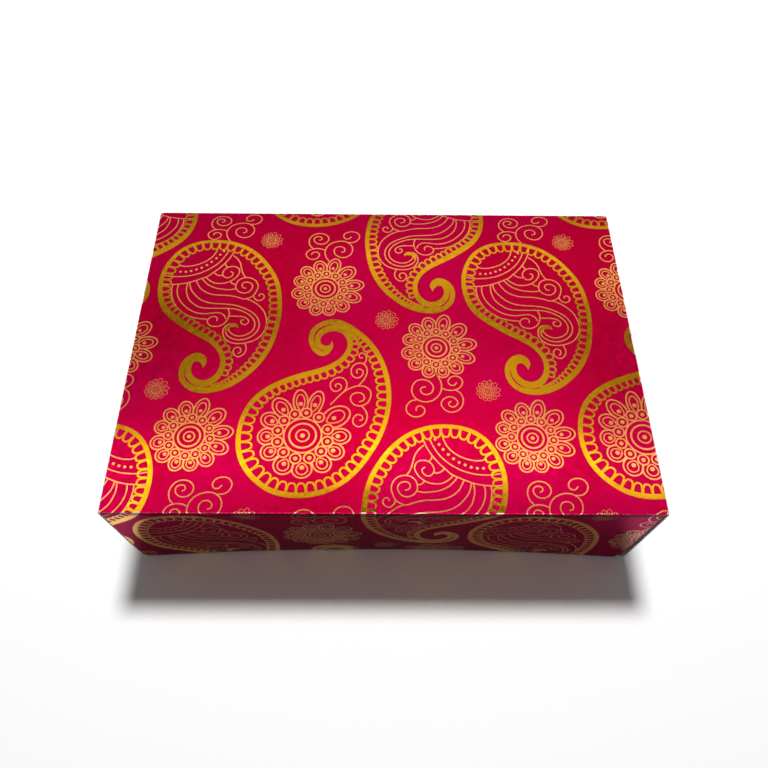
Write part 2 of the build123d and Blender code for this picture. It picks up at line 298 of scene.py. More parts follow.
# The spray under the flower in the middle right
low_spray = [
    [(137.6, 95.6), (139.2, 98.3), (140.2, 101.3), (140, 104.7), (138.4, 107.8), (135.6, 110), (132, 110.5),
     (128.8, 109), (127.1, 106), (127.3, 102.6), (129.1, 100), (132, 99.2), (135, 100.3), (136.5, 102.8),
     (136, 105.4), (134, 106.8), (131.8, 106.4), (130.8, 104.7), (131.6, 103.2), (133.2, 103)],
    [(129.2, 109.4), (126.4, 110.3), (124.5, 112.8), (124.7, 115.7), (127, 117.7), (130, 117.8),
     (132.2, 116), (132.2, 113.8), (130.4, 112.5), (128.8, 113.4), (128.7, 115)],
    [(140.2, 103.6), (142.6, 104.5), (145.4, 104.6), (148, 103.5), (149.6, 101.1), (149.2, 98.7),
     (147, 97.3), (144.5, 97.9), (143.2, 100), (144, 101.8), (146, 102), (147, 100.5)],
    [(146.4, 104.5), (148.6, 106.3), (149.5, 109.3), (148.7, 112.7), (146.4, 115), (143.3, 115.5),
     (140.8, 114), (139.7, 111.4), (141, 109), (143.7, 107.9), (146.2, 109), (147, 111.2), (145.3, 113),
     (143.4, 112.5), (143, 111), (144.2, 110.2)],
]

# Petals by the angle of their middle, clockwise from the back edge's side, and their reach
plain_petals = [(15, 19), (47, 18.6), (82, 18.6), (111, 18.2), (141, 16.8), (170, 15.9), (197, 16.3),
                (228, 16.2), (257, 16.2), (290, 16), (318, 17.1), (347, 17.3)]
inner_petals = [(17, 18.5), (57, 18.9), (91, 16.7), (118, 16.2), (146, 16.1), (178, 15.9), (208, 16.1),
                (240, 15.8), (268, 15.6), (297, 16.6), (324, 17.9), (354, 18.4)]


# A flower's parts, as shares of its hub's radius: its dot, its rings by radius and line width, its
# cells, the circle that its petals start from, and the dots in petals and cells. Then the sides of
# the small round ones
dot_share = 0.13
ring_shares = [(0.35, 0.9), (0.71, 1.2), (1, 1)]
cell_place_share, cell_share, cell_dot_share = 1.36, 0.29, 0.12
base_share, petal_dot_share = 1.7, 0.125
cell_sides, petal_dot_sides, cell_dot_sides = 12, 8, 7
# A petal's outline and the seed's inside it, as shares of the petal's length and half width, and
# how far in its foot starts and how much its sides swell
petal_shares = [(0.25, -1), (0.65, -0.88), (0.93, -0.45), (1, 0), (0.93, 0.45), (0.65, 0.88), (0.25, 1)]
seed_shares = [(-0.18, 0), (0.08, -0.45), (0.4, -0.58), (0.66, -0.35), (0.74, 0), (0.66, 0.35), (0.4, 0.58),
               (0.08, 0.45)]
foot_share, swell_share, dot_place_share, seed_line_share = 0.95, 1.12, 0.2, 0.75


def polar(centre, angle, radius):
    turn = math.radians(angle)
    return (centre[0] + radius * math.sin(turn), centre[1] - radius * math.cos(turn))


def flower(centre, petals, scale=1.0, line=petal_line, hub=6.6, full=True):
    """A round flower: a dot and three rings, a small cell between each two petals, and petals with
    a dot inside. A full one has a second loop inside each petal and a dot in each cell."""
    hub *= scale
    shapes = dot(*centre, dot_share * hub)
    for radius, width in ring_shares:
        shapes += ring(*centre, radius * hub, width * line)
    base = base_share * hub
    angles = [petals[-1][0] - 360, *(angle for angle, _ in petals), petals[0][0] + 360]
    for before, (angle, reach), after in zip(angles, petals, angles[2:]):
        # the cell on the far side of the petal
        cell = polar(centre, (angle + after) / 2, cell_place_share * hub)
        shapes += ring(*cell, cell_share * hub, line, cell_sides)
        # the petal
        half = min(after - angle, angle - before) / 2
        width = base * math.tan(math.radians(half)) * swell_share
        length = reach * scale - base

        def across(along, side):
            tip = polar(centre, angle, base + length * along)
            return polar(tip, angle + 90, side * width)
        feet = [polar(centre, angle + side * half, base * foot_share) for side in (-1, 1)]
        loop = [feet[0], *(across(*share) for share in petal_shares), feet[1]]
        shapes += stroke(loop, line)
        shapes += dot(*across(dot_place_share, 0), petal_dot_share * hub, petal_dot_sides)
        if full:
            shapes += dot(*cell, cell_dot_share * hub, cell_dot_sides)
            shapes += stroke([across(*share) for share in seed_shares], seed_line_share * line, closed=True)
    return shapes


# The print repeats at this distance each way, and no motif reaches further than reach from the
# part of the sheet that it is drawn on. At the back crease the print has crept forward a little.
period = np.array([146.2, 147.0])
reach = np.array([190.0, 160.0])
print_creep, creep_reach = 2.0, 22.0
# Places are kept to so many decimals of a millimetre. A smaller area is none, and corners that
# lie nearer than these are one where lines are joined and where outlines are filled
decimals, least_area = 4, 1e-5
join_gap, fill_gap = 1e-4, 1e-5


def open_sides(triangles):
    """The sides that only one triangle has, each the way that its triangle runs."""
    sides = [side for a, b, c in triangles for side in ((a, b), (b, c), (c, a))]
    uses = Counter(tuple(sorted(side)) for side in sides)
    return [side for side in sides if uses[tuple(sorted(side))] == 1]


def fans(shapes, index):
    """Triangles of convex shapes, all the same way round, by the numbers of their corners. index
    holds the number of each place, and new places go into it."""
    faces = []
    for a, *others in shapes:
        for b, c in zip(others, others[1:]):
            area = (b[0] - a[0]) * (c[1] - a[1]) - (b[1] - a[1]) * (c[0] - a[0])
            if abs(area) < least_area:
                continue
            corners = (a, c, b) if area < 0 else (a, b, c)
            places = [(round(x, decimals), round(y, decimals)) for x, y in corners]
            face = [index.setdefault(place, len(index)) for place in places]
            if len(set(face)) == 3:
                faces.append(face)
    return faces


def one_layer(shapes, under=()):
    """Triangles that cover what overlapping convex shapes cover, each place once, and nothing of
    what they lie under. Returns an array of triangles by corner by x and y."""
    index = {}
    own = fans(shapes, index)
    faces = own + fans(under, index)
    points = [Vector(place) for place in index]
    corners, _, triangles, _, _, sources = geometry.delaunay_2d_cdt(points, [], faces, 0, join_gap, True)
    covered = [triangle for triangle, source in zip(triangles, sources) if source and max(source) < len(own)]
    # only the outlines are kept and filled again, which leaves far fewer triangles
    rim = [tuple(sorted(side)) for side in open_sides(covered)]
    used = sorted({i for side in rim for i in side})
    place = {old: new for new, old in enumerate(used)}
    rim = [(place[a], place[b]) for a, b in rim]
    points = [corners[i] for i in used]
    corners, _, triangles, *_ = geometry.delaunay_2d_cdt(points, rim, [], 0, fill_gap, False)
    triangles = np.array([p[:] for p in corners])[np.array(triangles)]
    return triangles[inside(triangles.mean(axis=1), np.array([p[:] for p in points]), np.array(rim))]


def inside(places, points, rim):
    """Whether each place lies within closed outlines, by the sides that a line from it crosses."""
    a, b = points[rim[:, 0]][None], points[rim[:, 1]][None]
    x, y = places[:, None, 0], places[:, None, 1]
    crosses = (a[..., 1] > y) != (b[..., 1] > y)
    rise = np.where(crosses, b[..., 1] - a[..., 1], 1.0)
    at = a[..., 0] + (y - a[..., 1]) * (b[..., 0] - a[..., 0]) / rise
    return (crosses & (at > x)).sum(axis=1) % 2 == 1


def clipped(polygon, axis, limit, way):
    """What lies past a limit across one axis of a polygon of x, y points, or short of it where
    way is -1."""
    result = []
    for a, b in zip(polygon, polygon[1:] + polygon[:1]):
        over_a, over_b = way * (a[axis] - limit), way * (b[axis] - limit)
        if over_a >= 0:
            result.append(a)
        if (over_a > 0 > over_b) or (over_a < 0 < over_b):
            t = over_a / (over_a - over_b)
            result.append((a[0] + t * (b[0] - a[0]), a[1] + t * (b[1] - a[1])))
    return result


def cut_out(triangles, least, most, low, high):
    """The part of a sheet's triangles within a rectangle, as triangles. least and most are the
    corners of each triangle's box."""
    near = ((most > low) & (least < high)).all(axis=1)
    whole = ((least >= low) & (most <= high)).all(axis=1)
    pieces = [triangles[whole]]
    crossing = []
    for triangle in triangles[near & ~whole]:
        polygon = [tuple(p) for p in triangle]
        for axis in (0, 1):
            for limit, way in ((low[axis], 1), (high[axis], -1)):
                polygon = clipped(polygon, axis, limit, way)
        crossing += [(polygon[0], b, c) for b, c in zip(polygon[1:], polygon[2:])]
    if crossing:
        pieces.append(np.array(crossing))
    return np.concatenate(pieces)


def moved(triangles, dx, dy, mirror=None):
    """Triangles shifted, or mirrored about half of mirror along x and then shifted."""
    if mirror is None:
        return triangles + np.array([dx, dy])
    return (triangles * np.array([-1, 1]) + np.array([mirror + dx, dy]))[:, ::-1]


# Where the print's motifs lie in one repeat: the mirrored paisley, the flower inside a paisley and
# its scale, the flowers by size, and the second spray of curls. Then the points of the paisleys'
# outlines between which their arches run, and where the print begins on the base's sheet
mirror_place = dict(dx=0, dy=103.1 - period[1], mirror=171.7)
inner_flower, inner_scale = (80, 127.2), 1.22
blossom_places = [(86.5, 48.6), (138.7, 82.3), (31.9, 127.9)]
small_places, small_scale = [(58.3, 18.4), (115.7, 67), (14.3, 105)], 0.31
second_spray = (-50, 134.4 - period[1])
flowing_arches, flower_arches = (14, 51), (9, 51)
base_phase = (38, 61)
collar_dot, collar_dot_sides = 0.65, 8


def print_pattern():
    """Every motif of one repeat of the print, its broad bands and its fine lines apart."""
    flow_broad = border(flowing_outline, *flowing_arches) + stroke(flowing_head)
    flow_fine = strokes(flowing_lines)
    for place in collar_dots:
        flow_fine += dot(*place, collar_dot, collar_dot_sides)
    flower_border = border(flower_outline, *flower_arches)
    flow_band = one_layer(flow_broad)
    flow = one_layer(flow_fine, flow_broad)
    blossom = one_layer(flower((0, 0), plain_petals))
    small = one_layer(flower((0, 0), plain_petals, small_scale, small_line, full=False))
    curls = one_layer(strokes(spray))
    broad = [flow_band, moved(flow_band, **mirror_place), one_layer(flower_border)]
    fine = [
        flow,
        moved(flow, **mirror_place),
        one_layer(strokes(flower_lines) + flower(inner_flower, inner_petals, inner_scale), flower_border),
        *(moved(blossom, *place) for place in blossom_places),
        curls,
        moved(curls, *second_spray),
        one_layer(strokes(low_spray)),
        *(moved(small, *place) for place in small_places),
    ]
    return np.concatenate(broad), np.concatenate(fine)


# How far the foil stands proud of the board
foil_lift = 0.03

# The board and its folds, as in the CAD
board = (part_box("lid_top")[1].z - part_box("lid_top")[0].z) / mm
crease_radius = 0.5
wall_bow = 3.6
notch_mouth, notch_width, notch_roof = 29.0, 24.0, 3.8
relief_gap, relief_flare = 0.3, 1.2
left_corner_radius, left_setback_rise = 4.0, 4.0
# In how many steps the round forms go, and how far apart the points of a bowed wall lie
hem_steps, crease_steps, corner_steps = 10, 4, 8
wall_step, wall_margin = 4.0, 6.0
# How far the print runs on past the large panel, as shares of the walls' height
end_reach, wall_reach = 2.2, 1.1


class Sheet:
    """The printed side of a folded tray. way is 1 where its walls stand up from its large panel,
    or -1, and phase is where its print begins."""

    def __init__(self, body, panel, way, phase):
        low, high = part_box(panel)
        self.body = body
        self.way = way
        self.length = (high.x - low.x) / mm
        self.depth = (high.y - low.y) / mm
        self.level = (high.z if way < 0 else low.z) / mm
        self.phase = phase
        self.foil = [self.tiled(kind) for kind in print_kinds]

    def tiled(self, kind):
        """The print's repeats over the whole sheet, walls and rolled ends included."""
        walls_low, walls_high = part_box(f"{self.body}_front_wall")
        height = (walls_high.z - walls_low.z) / mm
        low = np.array([-end_reach * height, -wall_reach * height])
        high = np.array([self.length, self.depth]) - low
        first = np.floor((low - self.phase - reach) / period).astype(int)
        last = np.ceil((high - self.phase + reach) / period).astype(int)
        rows = []
        for kx in range(first[0], last[0] + 1):
            for ky in range(first[1], last[1] + 1):
                shifted = kind + np.array([kx, ky]) * period + self.phase
                if self.way < 0:
                    creep = np.clip(1 - shifted[..., 1] / creep_reach, 0, 1) ** 2
                    shifted[..., 1] += print_creep * creep
                near = (shifted.max(axis=1) > low) & (shifted.min(axis=1) < high)
                rows.append(shifted[near.all(axis=1)])
        triangles = np.concatenate(rows)
        return triangles, triangles.min(axis=1), triangles.max(axis=1)

    def across(self, y):
        """Y for a place on the large panel."""
        return self.way * (y - self.depth / 2)

    def large(self):
        """The large panel, with its rounded creases to the walls and to the ends."""
        edge = crease_radius

        def flat(x, y):
            return [x - self.length / 2, self.across(y), self.level - self.way * foil_lift + 0 * x]

        def over(axis, half):
            """The fold over the two creases that lie half away from the middle along an axis."""
            def fold(x, y):
                place = flat(x, y)
                rise, out = self.turn(np.abs(place[axis]) - half)
                place[axis] = np.sign(place[axis]) * (half + out)
                return place[0], place[1], self.level + rise
            return fold
        over_end, over_wall = over(0, self.length / 2), over(1, self.depth / 2)
        panels = [(((edge, edge), (self.length - edge, self.depth - edge)), flat)]
        for k in range(crease_steps):
            near = -edge + 2 * edge * k / crease_steps
            off = near + 2 * edge / crease_steps
            for start, stop, far in ((near, off, 1), (-off, -near, 0)):
                y0, y1 = far * self.depth + start, far * self.depth + stop
                x0, x1 = far * self.length + start, far * self.length + stop
                panels.append((((edge, y0), (self.length - edge, y1)), over_wall))
                panels.append((((x0, edge), (x1, self.depth - edge)), over_end))
        return panels

    def turn(self, past):
        """The height over the panel's face and the way out past its edge of a place on a rounded
        crease. past goes from -crease_radius on the panel to crease_radius on the wall."""
        angle = (past / crease_radius + 1) * math.pi / 4
        radius = crease_radius + foil_lift
        return self.way * (crease_radius - radius * np.cos(angle)), radius * np.sin(angle) - crease_radius

    def wall(self, side, columns, bow):
        """A long wall, in columns from x to x with the distance to each one's free edge."""
        far = side == self.way

        def fold(x, y):
            z = self.level + self.way * (y - self.depth if far else -y)
            face = self.depth / 2 + foil_lift - bow_at(x - self.length / 2, z, bow)
            return x - self.length / 2, side * face, z
        result = []
        for left, right, edge in columns:
            y0, y1 = (self.depth + board, self.depth + edge) if far else (-edge, -board)
            result.append((((left + self.length / 2, y0), (right + self.length / 2, y1)), fold))
        return result

    def end(self, side, hem, lining):
        """A rolled end: down the outer panel, round the hem and up the inner panel."""
        low, high = box_mm(hem)
        inner, outer = sorted((side * low.x, side * high.x))
        radius, middle = (outer - inner) / 2 + foil_lift, (outer + inner) / 2
        turn = high.z if self.way < 0 else low.z
        line = [(self.length / 2 + foil_lift, self.level + self.way * board)]
        for k in range(hem_steps + 1):
            angle = math.pi * k / hem_steps
            line.append((middle + radius * math.cos(angle), turn + self.way * radius * math.sin(angle)))
        line.append((inner - foil_lift, self.level + self.way * board))
        setback = self.depth / 2 - high.y
        if setback > 0.01:
            # the slanted cut starts here on the outer panel
            line.insert(1, (line[0][0], turn - self.way * left_setback_rise))
        lengths = board + lengths_along(line)
        across, height = np.array(line).T

        def fold(x, y):
            down = x - self.length if side > 0 else -x
            return side * np.interp(down, lengths, across), self.across(y), np.interp(down, lengths, height)
        lining_inset = self.depth / 2 - box_mm(lining)[1].y
        insets = [0] + [setback] * (len(line) - 3) + [lining_inset]
        result = []
        for inset, near, off in zip(insets, lengths, lengths[1:]):
            x0, x1 = (self.length + near, self.length + off) if side > 0 else (-off, -near)
            result.append((((x0, inset), (x1, self.depth - inset)), fold))
        return result


def bow_at(x, z, bow):
    """How far a bowed long wall of the lid stands in from straight."""
    if not bow:
        return 0 * x
    low, high = box_mm("lid_front_wall")
    middle, half = (low.x + high.x) / 2, (high.x - low.x) / 2
    radius = (half ** 2 + bow ** 2) / (2 * bow)
    sag = np.sqrt(radius ** 2 - (x - middle) ** 2) - (radius - bow)
    return sag * (high.z - z) / (high.z - low.z)


def new_mesh(name, corners, faces, materials, kinds=None):
    mesh = bpy.data.meshes.new(name)
    mesh.from_pydata([tuple(c) for c in corners], [], faces)
    for material in materials:
        mesh.materials.append(material)
    if kinds is not None:
        mesh.polygons.foreach_set("material_index", kinds)
    mesh.update()
    return linked(name, mesh)


def linked(name, data):
    holder = bpy.data.objects.new(name, data)
    bpy.context.scene.collection.objects.link(holder)
    return holder


def foil_piece(name, sheet, panels, materials):
    """The foil on one side of a tray, folded on to it."""
    rows, kinds = [], []
    for kind, tiles in enumerate(sheet.foil):
        for (low, high), fold in panels:
            flat = cut_out(*tiles, np.array(low), np.array(high))
            if len(flat):
                rows.append(np.stack(fold(flat[..., 0], flat[..., 1]), axis=-1))
                kinds.append(np.full(len(flat), kind))
    solid = np.concatenate(rows)
    corners, index = np.unique(np.round(solid.reshape(-1, 3), decimals), axis=0, return_inverse=True)
    faces = index.reshape(-1, 3)
    whole = (faces != np.roll(faces, 1, axis=1)).all(axis=1)
    # turned over, the faces look out: the print runs to the right and forward, seen from outside
    faces, kinds = faces[whole, ::-1], np.concatenate(kinds)[whole]
    piece = new_mesh(name, corners * mm, faces.tolist(), materials, kinds)
    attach(piece, sheet.body)


def relief(hem, way):
    """How far from the middle the walls' relief for a hem starts, and how high it reaches."""
    low, high = box_mm(hem)
    start = min(abs(low.x), abs(high.x)) - relief_gap - relief_flare
    return start, low.z - relief_gap if way > 0 else high.z + relief_gap


def lid_columns():
    """The long walls' columns between their reliefs and on each side of their notch."""
    low, high = box_mm("lid_front_wall")
    full = lid_sheet.level - low.z
    mouth, roof = relief("lid_right_hem", -1)
    half = notch_mouth / 2
    radius = left_corner_radius
    rounded = []
    for k in range(corner_steps):
        near, off = radius * k / corner_steps, radius * (k + 1) / corner_steps
        rise = radius - math.sqrt(radius ** 2 - (radius - near) ** 2)
        rounded.append((low.x + near, low.x + off, full - rise))
    return rounded + [
        (low.x + radius, -half, full),
        (-half, half, lid_sheet.level - notch_roof),
        (half, mouth, full),
        (mouth, high.x, lid_sheet.level - roof),
    ]


def base_columns():
    low, high = box_mm("base_front_wall")
    (left, left_roof), (right, right_roof) = (relief(f"base_{hand}_hem", 1) for hand in ("left", "right"))
    columns = [(low.x, -left, left_roof), (-left, right, high.z), (right, high.x, right_roof)]
    return [(start, end, edge - base_sheet.level) for start, end, edge in columns]


def lid_wall(side, node, materials):
    """A long wall of the lid: one board that is straight at its crease and bows in along its
    free edge, with its thumb notch and its reliefs. It is finer than the CAD's, so that the foil
    lies on it."""
    low, high = box_mm(node)
    mouth, roof = relief("lid_right_hem", -1)
    half = notch_mouth / 2
    radius = left_corner_radius
    turns = [math.pi / 2 * k / corner_steps for k in range(corner_steps + 1)]
    corner = [(low.x + radius * (1 - math.cos(t)), low.z + radius * (1 - math.sin(t))) for t in turns]
    outline = [(low.x, high.z)] + corner + [
        (-half, low.z), (-notch_width / 2, notch_roof), (notch_width / 2, notch_roof), (half, low.z),
        (mouth, low.z), (mouth + relief_flare, roof), (high.x, roof), (high.x, high.z),
    ]
    line = []
    for a, b in zip(outline, outline[1:] + outline[:1]):
        parts = max(1, round(math.dist(a, b) / wall_step))
        line += [(a[0] + (b[0] - a[0]) * k / parts, a[1] + (b[1] - a[1]) * k / parts) for k in range(parts)]
    grid = [
        (x, z) for x in np.arange(low.x + wall_step, high.x - wall_step / 2, wall_step)
        for z in np.arange(low.z + wall_margin, high.z - wall_step / 2, wall_step)
    ]
    edges = [(k, (k + 1) % len(line)) for k in range(len(line))]
    points = [Vector(p) for p in line + grid]
    flat, _, triangles, *_ = geometry.delaunay_2d_cdt(points, edges, [], 1, fill_gap, False)
    x, z = np.array([p[:] for p in flat]).T
    face = lid_sheet.depth / 2 - bow_at(x, z, wall_bow)
    corners = np.concatenate([np.stack([x, side * y, z], axis=-1) for y in (face, face - board)])
    # its printed face, its grey back and its raw edge, each looking out
    triangles, count = np.array(triangles), len(flat)
    front, back = triangles[:, ::-side].tolist(), (triangles[:, ::side] + count).tolist()
    rim = [(q, p, p + count, q + count) for p, q in open_sides(front)]
    kinds = [0] * len(front) + [1] * len(back) + [2] * len(rim)
    piece = new_mesh(f"{node}_board", corners * mm, front + back + rim, materials, kinds)
    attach(piece, "lid")
    piece.data.shade_smooth()
    piece.data.set_sharp_from_angle(angle=math.radians(30))
    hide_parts(node)


print_kinds = print_pattern()
lid_sheet = Sheet("lid", "lid_top", -1, (0, 0))
base_sheet = Sheet("base", "base_bottom", 1, base_phase)


# Materials

class Graph:
    """The node tree of a material or a world, with a short way to add and join nodes."""

    def __init__(self, owner):
        self.owner = owner
        owner.use_nodes = True
        self.tree = owner.node_tree
        self.tree.nodes.clear()

    def add(self, kind, inputs=None, output=0, **settings):
        """Adds a node and returns one of its outputs, or all where output is None. inputs maps
        socket names or numbers to values or other outputs."""
        node = self.tree.nodes.new(kind)
        for key, value in settings.items():
            setattr(node, key, value)
        for key, value in (inputs or {}).items():
            if isinstance(value, bpy.types.NodeSocket):
                self.tree.links.new(value, node.inputs[key])
            else:
                node.inputs[key].default_value = value
        return node.outputs if output is None else node.outputs[output]

    def math(self, operation, first, *others, clamp=False):
        """The operation on one value, or on one and each of the others in turn."""
        for other in others or (0,):
            first = self.add("ShaderNodeMath", {0: first, 1: other}, operation=operation, use_clamp=clamp)
        return first

    def times(self, *values):
        return self.math("MULTIPLY", *values)

    def plus(self, *values):
        return self.math("ADD", *values)

    def minus(self, *values):
        return self.math("SUBTRACT", *values)

    def parts(self, vector):
        return self.add("ShaderNodeSeparateXYZ", {0: vector}, output=None)

    def place(self):
        return self.add("ShaderNodeTexCoord", output="Object")

    def noise(self, scale, detail=2.0, roughness=0.5):
        values = {"Vector": self.place(), "Scale": scale, "Detail": detail, "Roughness": roughness}
        return self.add("ShaderNodeTexNoise", values)

    def even(self, value, low, high, at_low=0, at_high=1, curve="LINEAR"):
        """at_low up to where a value is low, at_high from where it is high, and even between."""
        limits = {"Value": value, "From Min": low, "From Max": high, "To Min": at_low, "To Max": at_high}
        return self.add("ShaderNodeMapRange", limits, interpolation_type=curve)

    def soft(self, *limits):
        """The same with soft ends."""
        return self.even(*limits, curve="SMOOTHSTEP")

    def mix(self, share, a, b):
        """A colour between a and b."""
        return self.add("ShaderNodeMix", {0: share, 6: a, 7: b}, output=2, data_type="RGBA")

    def bump(self, height, distance, strength, under=None):
        inputs = {"Height": height, "Distance": distance, "Strength": strength}
        if under is not None:
            inputs["Normal"] = under
        return self.add("ShaderNodeBump", inputs)

    def seen_directly(self):
        """1 for what the camera sees, straight or in a shiny or clear surface, but not for light
        that a dull surface scatters on."""
        path = self.add("ShaderNodeLightPath", output=None)
        rays = [path[f"Is {kind} Ray"] for kind in ("Camera", "Glossy", "Transmission")]
        seen = self.math("MAXIMUM", *rays)
        return self.math("SUBTRACT", seen, path["Diffuse Depth"], clamp=True)

    def show(self, kind, surface):
        out = self.tree.nodes.new(kind)
        self.tree.links.new(surface, out.inputs["Surface"])
        return self.owner

    def finish(self, inputs):
        return self.show("ShaderNodeOutputMaterial", self.add("ShaderNodeBsdfPrincipled", inputs))


def material_graph(name):
    return Graph(bpy.data.materials.new(name))


crimson = (0.78, 0.0006, 0.047, 1)
rose = (0.84, 0.0008, 0.085, 1)
# painted shade: darker copies of the ink, for the walls
wall_shade_crimson = (0.44, 0.0006, 0.028, 1)
wall_shade_rose = (0.50, 0.0008, 0.050, 1)
ink_speckle = (0.42, 0.0, 0.03, 1)
# painted shade for the band under the creases
painted_crease_shade = (0.10, 0.0, 0.005, 1)
# worn print, which also gives the creases a pale pink painted highlight
worn_print_and_highlight = (0.85, 0.22, 0.30, 1)
frayed_board = (0.62, 0.58, 0.57, 1)
grey_back = (0.46, 0.44, 0.42, 1)
grey_fibre = (0.30, 0.285, 0.27, 1)
dark_fleck = (0.16, 0.15, 0.15, 1)
raw_edge = (0.74, 0.62, 0.60, 1)
raw_dark = (0.56, 0.44, 0.43, 1)
gold = (1.0, 0.48, 0.010, 1)
deep_gold = (0.93, 0.41, 0.005, 1)
rose_gold = (1.0, 0.41, 0.095, 1)
deep_rose_gold = (0.96, 0.34, 0.065, 1)
# rubbed foil, which also gives the creases a pale painted highlight
rubbed_gold_and_highlight = (0.95, 0.78, 0.50, 1)
# painted shade for the foil on the walls
wall_shade_gold = (0.42, 0.15, 0.02, 1)
# what the ink and the gold turn to where they are seen at a slant
ink_edge = (0.32, 0.45, 0.52, 1)
gold_edge = (0.80, 0.90, 1.0, 1)
print_metal, print_gloss = 0.9, 0.05
# From how rough to how rough each goes, and the noise values between which it does
print_rough, foil_rough, board_rough = (0.18, 0.27), (0.09, 0.18), (0.85, 0.95)
noise_span = (0.3, 0.7)
# Distances, in metres: past the large panel where the walls' painted shade sets in, where the painted
# shade under the crease sets in and fades, from an edge where the print is worn and given a pale
# painted highlight, from a corner where it is frayed, and from a crease where the foil is rubbed
# pale and given a painted highlight
wall_shade_from, shade_from, shade_to = (0.0001, 0.0004), (0.00005, 0.0002), (0.0018, 0.0042)
edge_worn_and_highlight, corner_frayed, foil_rubbed_and_highlight = (0.00055, 0.00085), (0.0016, 0.0021), (0.0004, 0.0007)


def distances(g, sheet):
    """How far a place is from the planes of the nearer end, of the nearer long wall and of the
    large panel."""
    x, y, z = g.parts(g.place())
    to_end = g.minus(sheet.length / 2 * mm, g.math("ABSOLUTE", x))
    to_wall = g.minus(sheet.depth / 2 * mm, g.math("ABSOLUTE", y))
    return to_end, to_wall, g.math("ABSOLUTE", g.minus(z, sheet.level * mm))


# 1 on the walls, where the ink and the foil get painted shade
def on_wall(g, to_panel):
    return g.soft(to_panel, *wall_shade_from)


def crease_shade(g, to_panel):
    """1 in the band of painted shade where a wall leaves its crease with the flat panel."""
    return g.times(g.soft(to_panel, *shade_from), g.soft(to_panel, *shade_to, 1, 0))


def print_colour(g, sheet):
    """The printed side's colour: crimson ink with soft blotches and speckle, painted shade on the
    walls and in a band under their creases, and worn edges with a pale painted highlight. Also how
    worn it is, highlight included."""
    blotch = g.soft(g.noise(14, 3), 0.35, 0.65)
    speckle = g.even(g.noise(2600, 2), *noise_span, 0, 0.10)
    to_end, to_wall, to_panel = distances(g, sheet)
    # painted shade: the ink is darker on the walls, and darkest in a band where they leave their crease
    ink = g.mix(on_wall(g, to_panel), g.mix(blotch, crimson, rose), g.mix(blotch, wall_shade_crimson, wall_shade_rose))
    ink = g.mix(speckle, ink, ink_speckle)
    ink = g.mix(g.times(crease_shade(g, to_panel), 0.8), ink, painted_crease_shade)
    # how near a box edge lies: the second smallest of the distances to the three faces
    farther = g.math("MAXIMUM", to_end, to_wall)
    edge = g.math("MAXIMUM", g.math("MINIMUM", to_end, to_wall), g.math("MINIMUM", farther, to_panel))
    ragged = g.times(g.noise(700, 4, 0.7), 0.0011)
    # worn edges, which also carry a pale pink painted highlight along the creases
    wear_and_highlight = g.soft(g.plus(edge, ragged), *edge_worn_and_highlight, 0.4, 0)
    # and the board is bare where a corner has frayed
    corner = g.math("MAXIMUM", farther, to_panel)
    frayed = g.soft(g.plus(corner, g.times(ragged, 1.6)), *corner_frayed, 1, 0)
    wear_and_highlight = g.math("MAXIMUM", wear_and_highlight, frayed)
    return g.mix(frayed, g.mix(wear_and_highlight, ink, worn_print_and_highlight), frayed_board), wear_and_highlight


def back_colour(g):
    fibres = g.even(g.noise(900, 4, 0.7), 0.35, 0.7, 0, 0.6)
    flecks = g.even(g.noise(420, 1), 0.68, 0.74, 0, 0.7)
    return g.mix(flecks, g.mix(fibres, grey_back, grey_fibre), dark_fleck)


def edge_colour(g):
    return g.mix(g.even(g.noise(1800, 3, 0.7), 0.35, 0.65), raw_edge, raw_dark)


def plain_material(name, colour, grain, height, strength):
    """Board without print: its grey back or its raw edge."""
    g = material_graph(name)
    return g.finish({
        "Base Color": colour(g),
        "Roughness": g.even(g.noise(500), *noise_span, *board_rough),
        "Specular IOR Level": 0.2,
        "Normal": g.bump(g.noise(grain, 4, 0.7), height, strength),
    })


def board_material(name, sheet, printed_side=None, roll=None, least=0.3):
    """A board printed on one side, raw at its edges and grey behind. printed_side is the way its
    print faces, and least how nearly a face must look that way to be printed. roll gives a hem's
    axis and the radius of the middle of its board. With neither, all of it is printed."""
    g = material_graph(name)
    colour, wear_and_highlight = print_colour(g, sheet)
    printed = 1.0
    normal = g.add("ShaderNodeNewGeometry", output="Normal")
    if printed_side:
        facing = g.add("ShaderNodeVectorMath", {0: normal, 1: printed_side}, "Value", operation="DOT_PRODUCT")
        printed = g.math("GREATER_THAN", facing, least)
        behind = g.math("LESS_THAN", facing, -0.3)
    elif roll:
        (axis_x, axis_z), radius = roll
        x, y, z = g.parts(g.place())
        across = g.math("POWER", g.minus(x, axis_x), 2.0)
        up = g.math("POWER", g.minus(z, axis_z), 2.0)
        out = g.math("SQRT", g.plus(across, up))
        side = g.math("LESS_THAN", g.math("ABSOLUTE", g.parts(normal)[1]), 0.7)
        printed = g.times(side, g.math("GREATER_THAN", out, radius))
        behind = g.times(side, g.math("LESS_THAN", out, radius))
    if printed_side or roll:
        colour = g.mix(printed, g.mix(behind, edge_colour(g), back_colour(g)), colour)
    rough = g.even(g.noise(300, 3), *noise_span, *print_rough)
    fibre = g.bump(g.noise(1500, 3, 0.6), 0.000012, 0.5)
    return g.finish({
        "Base Color": colour,
        "Metallic": g.times(printed, g.minus(1.0, wear_and_highlight), print_metal),
        "Roughness": g.plus(rough, g.times(g.minus(1.0, printed), 0.5)),
        "Specular IOR Level": print_gloss,
        "Specular Tint": ink_edge,
        "Normal": g.bump(g.noise(38, 2, 0.4), 0.00022, 0.5, fibre),
    })


